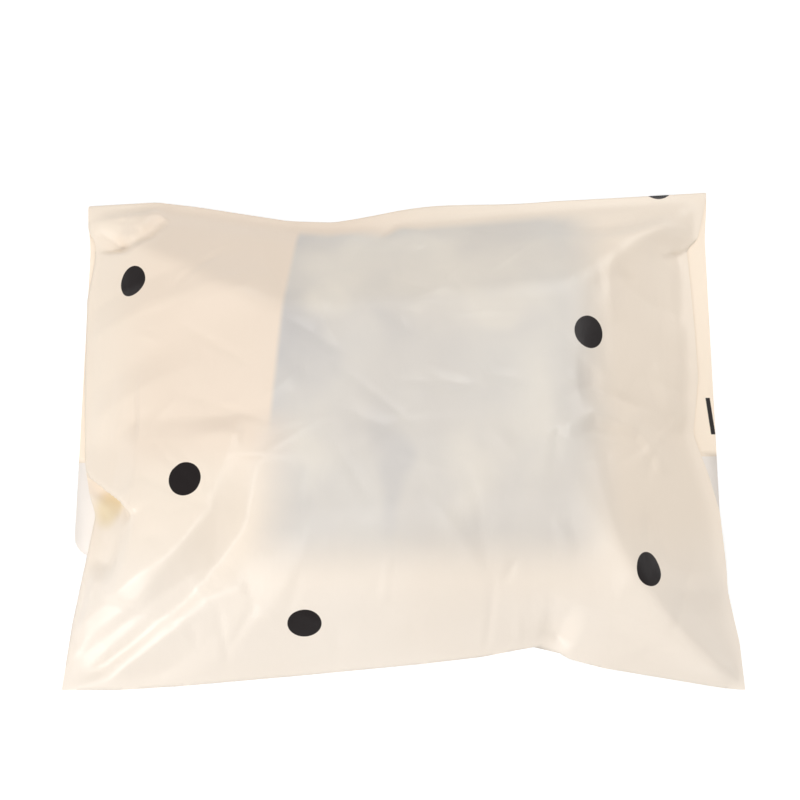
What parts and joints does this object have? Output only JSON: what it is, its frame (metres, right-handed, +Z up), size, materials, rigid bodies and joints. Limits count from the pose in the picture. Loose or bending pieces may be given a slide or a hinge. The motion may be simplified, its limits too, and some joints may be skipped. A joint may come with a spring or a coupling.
{
  "type": "poly mailer bag",
  "caption": "Filled poly mailer lying face up, its empty top folded underneath with the closing flap left open.",
  "frame": {"origin": "centre of the bag's footprint, on the surface it lies on", "axes": "+X across the bag to its right edge, +Y from the sealed bottom edge to the folded top, +Z up through the printed face"},
  "size_m": [0.2544, 0.196, 0.0327],
  "materials": {
    "film": "cream polyethylene film, satin, slightly see-through, with black dots",
    "pack": "soft folded cloth, matte",
    "adhesive": "clear tacky hot-melt strip",
    "liner": "white release tape, smooth"
  },
  "bodies": {
    "root": {"film_bag": "film", "contents": "pack", "adhesive_strip": "adhesive", "release_liner": "liner"}
  },
  "joints": []
}
